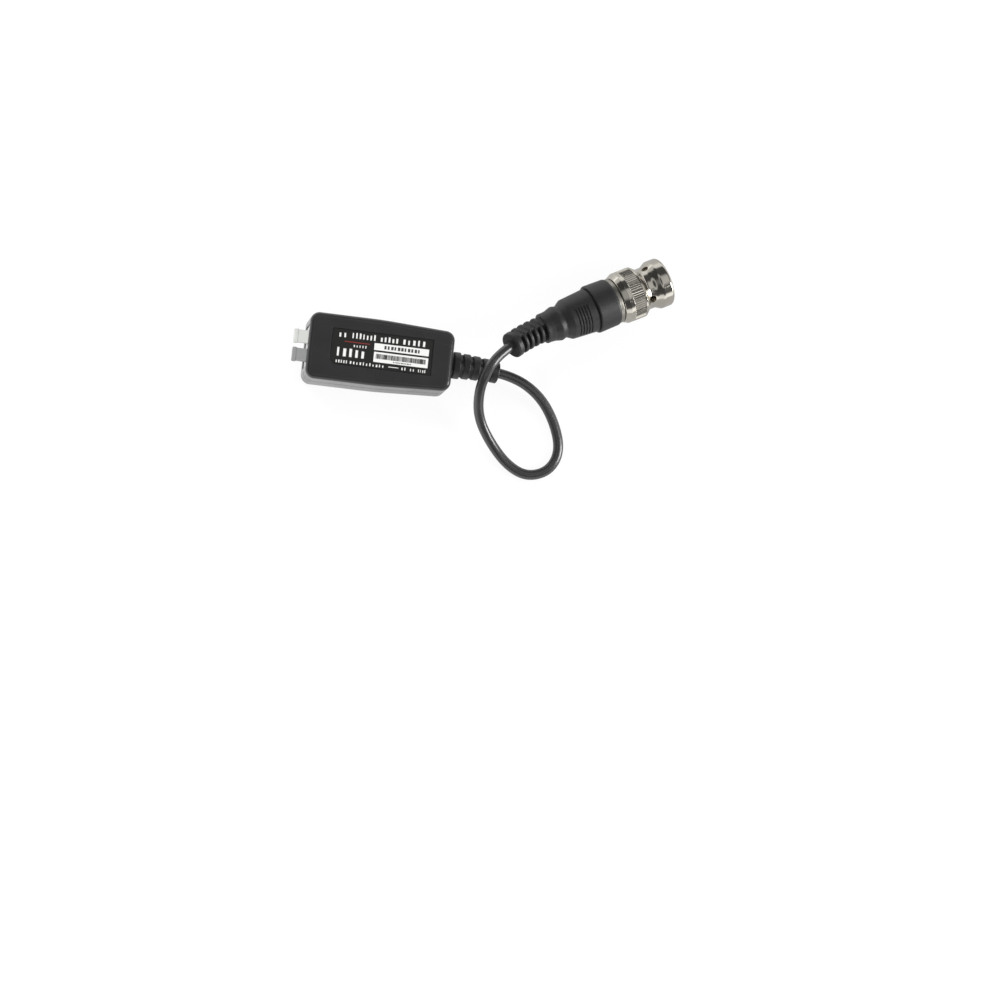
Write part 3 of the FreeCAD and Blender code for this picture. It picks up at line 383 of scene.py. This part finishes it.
def moulded_plastic(name, dark, light, smooth, dull, grain_scale=9000.0, grain_height=0.000004,
                    scratches=0.0, specular=0.5, flow_scale=140.0):
    """A moulded part: two close tones, grain, uneven gloss, and scratches where asked."""
    material, tree, shader = new_material(name)
    vector = object_vector(tree)
    surface = use_group(tree, MOULDED, vector, Grain_Scale=grain_scale, Flow_Scale=flow_scale,
                        Smooth_Roughness=smooth, Dull_Roughness=dull)
    two_tones(tree, shader, surface["Flow"], dark, light)
    roughness = surface["Roughness"]
    height = surface["Height"]
    if scratches:
        mask = use_group(tree, SCRATCHED, vector, Amount=scratches)["Mask"]
        dulled = math_node(tree, "MULTIPLY", mask, PLASTIC_SCRATCH_DULLING)
        roughness = math_node(tree, "ADD", roughness, dulled)
        height = math_node(tree, "SUBTRACT", height, mask)
    tree.links.new(roughness, shader.inputs["Roughness"])
    shader.inputs["Specular IOR Level"].default_value = specular
    bump(tree, shader, height, grain_height)
    return material


def plated_metal(name, dark, light, smooth, dull):
    """Plated and turned metal, with lathe rings about the plug's axis and a slight tarnish."""
    material, tree, shader = new_material(name)
    vector = object_vector(tree, about_plug=True)
    marks = use_group(tree, TURNED, vector)
    scratches = use_group(tree, SCRATCHED, vector, Amount=0.6)["Mask"]
    two_tones(tree, shader, marks["Tarnish"], light, dark)
    soft = spread(tree, marks["Tarnish"], smooth, dull)
    dulled = math_node(tree, "MULTIPLY", scratches, METAL_SCRATCH_DULLING)
    tree.links.new(math_node(tree, "ADD", soft, dulled), shader.inputs["Roughness"])
    shader.inputs["Metallic"].default_value = 1.0
    bump(tree, shader, math_node(tree, "SUBTRACT", marks["Height"], scratches), LATHE_RELIEF)
    return material


def flat_ink(name, colour, roughness):
    return moulded_plastic(name, tuple(c * 0.94 for c in colour), colour, roughness, roughness + 0.12,
                           grain_scale=7000.0, grain_height=0.000001)


# The finish of each material slot in the record
MATERIALS = {}
for slot_name, (dark_tone, light_tone, smoothest, dullest, details) in PLASTICS.items():
    MATERIALS[slot_name] = moulded_plastic(slot_name, dark_tone, light_tone, smoothest, dullest, **details)
for slot_name, tones_and_gloss in METALS.items():
    MATERIALS[slot_name] = plated_metal(slot_name, *tones_and_gloss)
WHITE_INK = flat_ink("white_ink", (0.70, 0.70, 0.68), 0.38)
GREY_INK = flat_ink("grey_ink", (0.035, 0.035, 0.035), 0.40)
RED_INK = flat_ink("red_ink", (0.24, 0.03, 0.02), 0.40)


def finish_nodes():
    """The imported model's own pieces keep their shape, and get these finishes."""
    for row in frame["record"]["subparts"]:
        piece = nodes[row["node"]]
        piece.data.materials.clear()
        piece.data.materials.append(MATERIALS[row["material_slot"]])


def new_piece(name, data):
    piece = bpy.data.objects.new(name, data)
    bpy.context.scene.collection.objects.link(piece)
    return piece


# Cable

def lay_cable(springs):
    curve = bpy.data.curves.new("cable", "CURVE")
    curve.dimensions = "3D"
    curve.bevel_depth = CABLE_DIAMETER / 2
    curve.bevel_resolution = CABLE_ROUND_STEPS
    curve.use_fill_caps = True
    spline = curve.splines.new("NURBS")
    spline.points.add(len(CABLE_ROUTE) - 1)
    for point, place in zip(spline.points, CABLE_ROUTE):
        point.co = (*place, 1.0)
    spline.order_u = 3
    spline.use_endpoint_u = True
    spline.resolution_u = CABLE_STEPS_BETWEEN_POINTS
    curve.materials.append(MATERIALS["cable_jacket"])
    cable = new_piece("cable", curve)
    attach(cable, "housing")
    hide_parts("coax_cable")


# Springs: copies of the model's own, which ride the housing in their place

def lay_springs():
    """Copies each spring that the record's joints list, rides it on the housing and hides the model's own."""
    springs = {}
    for joint in frame["record"]["behaviour"]["joints"]:
        for row in joint.get("deforming_nodes", []):
            spring = new_piece(row["node"] + "_leaf", nodes[row["node"]].data.copy())
            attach(spring, "housing")
            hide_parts(row["node"])
            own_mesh(spring)
            springs[row["node"]] = spring
    return springs


# Label print: generic fields and bars, with no words

def random_value(tree, low, high, seed):
    """A float drawn for each point; the node's float sockets are its third and fourth inputs."""
    node = add(tree, "FunctionNodeRandomValue", data_type="FLOAT")
    put(tree, low, node.inputs[2])
    put(tree, high, node.inputs[3])
    tree.links.new(seed, node.inputs["Seed"])
    return node.outputs[1]


def printed_row_tree():
    """A row of bars along X on one base line, with seeded widths and heights."""
    tree = bpy.data.node_groups.new("printed_row", "GeometryNodeTree")
    socket(tree, "Geometry", "NodeSocketGeometry", True)
    socket(tree, "Count", "NodeSocketInt", True, 10)
    socket(tree, "Start", "NodeSocketVector", True)
    socket(tree, "Pitch", "NodeSocketFloat", True, 0.001)
    socket(tree, "Height", "NodeSocketFloat", True, 0.001)
    socket(tree, "Thickness", "NodeSocketFloat", True, 0.00002)
    socket(tree, "Thinnest", "NodeSocketFloat", True, 0.5)
    socket(tree, "Widest", "NodeSocketFloat", True, 0.8)
    socket(tree, "Shortest", "NodeSocketFloat", True, 0.7)
    socket(tree, "Seed", "NodeSocketInt", True, 1)
    socket(tree, "Ink", "NodeSocketMaterial", True)
    socket(tree, "Geometry", "NodeSocketGeometry", False)
    given = add(tree, "NodeGroupInput").outputs
    result = add(tree, "NodeGroupOutput").inputs

    step = add(tree, "ShaderNodeCombineXYZ")
    tree.links.new(given["Pitch"], step.inputs["X"])
    line = add(tree, "GeometryNodeMeshLine")
    tree.links.new(given["Count"], line.inputs["Count"])
    tree.links.new(given["Start"], line.inputs["Start Location"])
    tree.links.new(step.outputs[0], line.inputs["Offset"])

    block = add(tree, "GeometryNodeMeshCube")
    block.inputs["Size"].default_value = (1.0, 1.0, 1.0)
    on_base = add(tree, "GeometryNodeTransform")
    on_base.inputs["Translation"].default_value = (0.5, 0.5, 0.5)
    tree.links.new(block.outputs["Mesh"], on_base.inputs["Geometry"])

    width = random_value(tree, given["Thinnest"], given["Widest"], given["Seed"])
    height_seed = math_node(tree, "ADD", given["Seed"], 100.0)
    height = random_value(tree, given["Shortest"], 1.0, height_seed)
    size = add(tree, "ShaderNodeCombineXYZ")
    tree.links.new(math_node(tree, "MULTIPLY", width, given["Pitch"]), size.inputs["X"])
    tree.links.new(math_node(tree, "MULTIPLY", height, given["Height"]), size.inputs["Y"])
    tree.links.new(given["Thickness"], size.inputs["Z"])

    placed = add(tree, "GeometryNodeInstanceOnPoints")
    tree.links.new(line.outputs["Mesh"], placed.inputs["Points"])
    tree.links.new(on_base.outputs["Geometry"], placed.inputs["Instance"])
    tree.links.new(size.outputs[0], placed.inputs["Scale"])
    solid = add(tree, "GeometryNodeRealizeInstances")
    tree.links.new(placed.outputs["Instances"], solid.inputs["Geometry"])
    inked = add(tree, "GeometryNodeSetMaterial")
    tree.links.new(solid.outputs["Geometry"], inked.inputs["Geometry"])
    tree.links.new(given["Ink"], inked.inputs["Material"])
    tree.links.new(inked.outputs["Geometry"], result["Geometry"])
    return tree


PRINTED_ROW = printed_row_tree()


def ink_base(layer):
    """Each layer of ink stands on the one below, sunk in a little so that no gap shows."""
    return (LABEL_FACE - INK_SUNK + layer * (INK_THICKNESS - INK_SUNK)) * MM


def printed_row(row, layer, ink, seed, bars):
    """The mesh of one row of bars, from its numbers in millimetres."""
    x0, x1, y0, height, count = row
    thinnest, widest, shortest = bars
    values = {
        "Count": count,
        "Start": (x0 * MM, y0 * MM, ink_base(layer)),
        "Pitch": (x1 - x0) / count * MM,
        "Height": height * MM,
        "Thickness": INK_THICKNESS * MM,
        "Thinnest": thinnest,
        "Widest": widest,
        "Shortest": shortest,
        "Seed": seed,
        "Ink": ink,
    }
    holder = new_piece("row", bpy.data.meshes.new("row"))
    modifier = holder.modifiers.new("printed_row", "NODES")
    modifier.node_group = PRINTED_ROW
    for item in PRINTED_ROW.interface.items_tree:
        if item.item_type == "SOCKET" and item.in_out == "INPUT" and item.name in values:
            modifier[item.identifier] = values[item.name]
    graph = bpy.context.evaluated_depsgraph_get()
    graph.update()
    mesh = bpy.data.meshes.new_from_object(holder.evaluated_get(graph))
    bpy.data.objects.remove(holder)
    return mesh


def printed_field(field, layer):
    """The mesh of a plain field of ink, from its sides in millimetres."""
    x0, x1, y0, y1 = field
    base = ink_base(layer)
    top = base + INK_THICKNESS * MM
    plan = ((x0, y0), (x1, y0), (x1, y1), (x0, y1))
    points = [(x * MM, y * MM, z) for z in (base, top) for x, y in plan]
    faces = [(3, 2, 1, 0), (4, 5, 6, 7)]
    for i in range(4):
        j = (i + 1) % 4
        faces.append((i, j, j + 4, i + 4))
    mesh = bpy.data.meshes.new("field")
    mesh.from_pydata(points, [], faces)
    return mesh


def joined_print(name, meshes, ink):
    """One piece made of several meshes of the same ink, which rides the case."""
    whole = bmesh.new()
    for mesh in meshes:
        whole.from_mesh(mesh)
    mesh = bpy.data.meshes.new(name)
    whole.to_mesh(mesh)
    whole.free()
    for face in mesh.polygons:
        face.material_index = 0
    mesh.materials.append(ink)
    piece = new_piece(name, mesh)
    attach(piece, "housing")


def print_label():
    white = [printed_field(field, 0) for field in (*WHITE_PANELS, WHITE_RULE)]
    for number, row in enumerate(HEAD_ROWS + FOOT_ROWS):
        white.append(printed_row(row, 0, WHITE_INK, number + 1, TEXT_BARS))
    for number, row in enumerate(BLOCK_ROWS):
        white.append(printed_row(row, 0, WHITE_INK, number + BLOCK_SEED, BLOCK_BARS))
    joined_print("white_print", white, WHITE_INK)
    dark = []
    for number, (row, bars) in enumerate(DARK_ROWS):
        dark.append(printed_row(row, 1, GREY_INK, number + DARK_SEED, bars))
    joined_print("dark_print", dark, GREY_INK)
    joined_print("red_print", [printed_field(RED_RULE, 0)], RED_INK)


# Studio

def light_the_room():
    """White to the camera, soft light on the part, and walls and a ring for shiny surfaces."""
    world = bpy.data.worlds.new("studio")
    bpy.context.scene.world = world
    world.use_nodes = True
    tree = world.node_tree
    parts = add(tree, "ShaderNodeSeparateXYZ")
    tree.links.new(add(tree, "ShaderNodeTexCoord").outputs["Generated"], parts.inputs[0])
    ramp = add(tree, "ShaderNodeValToRGB")
    stops = ramp.color_ramp.elements
    stops[0].color = (*[HORIZON_GREY] * 3, 1.0)
    stops[1].color = (*[OVERHEAD_GREY] * 3, 1.0)
    for height, grey in MIRRORED_ROOM:
        stops.new(height).color = (*[grey] * 3, 1.0)
    tree.links.new(parts.outputs["Z"], ramp.inputs["Fac"])
    lean = math_node(tree, "ADD", 1.0, math_node(tree, "MULTIPLY", parts.outputs["X"], ROOM_LEAN))
    leaning = add(tree, "ShaderNodeVectorMath", operation="SCALE")
    tree.links.new(ramp.outputs["Color"], leaning.inputs[0])
    tree.links.new(math_node(tree, "MAXIMUM", lean, ROOM_DIMMEST), leaning.inputs["Scale"])
    path = add(tree, "ShaderNodeLightPath").outputs
    indirect = mix_colours(tree, path["Is Glossy Ray"], ROOM_LIGHT, leaning.outputs["Vector"])
    colour = mix_colours(tree, seen_directly(tree, path), indirect, WHITE)
    tree.links.new(colour, tree.nodes["Background"].inputs["Color"])


def place_the_lamps():
    for name, (place, size, power, mirrored) in LAMPS.items():
        data = bpy.data.lights.new(name, "AREA")
        data.shape = "RECTANGLE"
        data.size, data.size_y = size
        data.energy = power
        lamp = new_piece(name, data)
        lamp.location = place
        lamp.visible_glossy = mirrored
        lamp.rotation_mode = "QUATERNION"
        lamp.rotation_quaternion = (LAMP_AIM - Vector(place)).to_track_quat("-Z", "Y")


def floor_paper():
    """Paper that keeps the part's shadow, is white to the camera and can be seen through from below."""
    material = bpy.data.materials.new("floor_paper")
    material.use_nodes = True
    tree = material.node_tree
    tree.nodes.clear()
    place = add(tree, "ShaderNodeTexCoord").outputs["Object"]
    along = add(tree, "ShaderNodeSeparateXYZ")
    tree.links.new(place, along.inputs[0])
    away = add(tree, "ShaderNodeVectorMath", operation="LENGTH")
    tree.links.new(place, away.inputs[0])
    path = add(tree, "ShaderNodeLightPath").outputs

    strength = add(tree, "ShaderNodeMix", data_type="FLOAT")
    strength.inputs["A"].default_value = FLOOR_GLOW
    tree.links.new(path["Is Glossy Ray"], strength.inputs["Factor"])
    tree.links.new(spread(tree, along.outputs["X"], *MIRRORED_GLOW, *MIRRORED_ALONG), strength.inputs["B"])
    glow = add(tree, "ShaderNodeEmission")
    glow.inputs["Color"].default_value = WHITE
    tree.links.new(strength.outputs["Result"], glow.inputs["Strength"])
    paper = add(tree, "ShaderNodeBsdfDiffuse")
    paper.inputs["Color"].default_value = FLOOR_PAPER

    seen = math_node(tree, "MAXIMUM", seen_directly(tree, path), path["Is Glossy Ray"])
    share = spread(tree, away.outputs["Value"], *GLOW_SHARE, *SHARE_DISTANCE)
    lit = mix_shaders(tree, math_node(tree, "MULTIPLY", seen, share), paper.outputs[0], glow.outputs[0])
    below = add(tree, "ShaderNodeNewGeometry").outputs["Backfacing"]
    sheet = mix_shaders(tree, below, lit, add(tree, "ShaderNodeBsdfTransparent").outputs[0])
    tree.links.new(sheet, add(tree, "ShaderNodeOutputMaterial").inputs["Surface"])
    return material


def lay_the_floor():
    reach = FLOOR_REACH
    mesh = bpy.data.meshes.new("floor")
    corners = [(-reach, -reach, 0), (reach, -reach, 0), (reach, reach, 0), (-reach, reach, 0)]
    mesh.from_pydata(corners, [], [(0, 1, 2, 3)])
    mesh.materials.append(floor_paper())
    floor = new_piece("floor", mesh)
    floor.location.z = -FLOOR_DROP


def place_the_camera():
    turn = Matrix.Identity(3)
    for angle, axis in zip(CAMERA_TURN, "XYZ"):
        turn = turn @ Matrix.Rotation(angle, 3, axis)
    data = bpy.data.cameras.new("photo_camera")
    data.lens = CAMERA_LENS
    data.sensor_width = SENSOR_WIDTH
    data.clip_start, data.clip_end = CAMERA_RANGE
    camera = new_piece("photo_camera", data)
    camera.matrix_world = (Matrix.Translation(CAMERA_SHIFT) @ turn.to_4x4()).inverted()
    bpy.context.scene.camera = camera
    bpy.context.scene.view_settings.view_transform = "Standard"


place_the_camera()
finish_nodes()
lay_cable(lay_springs())
print_label()
light_the_room()
place_the_lamps()
lay_the_floor()
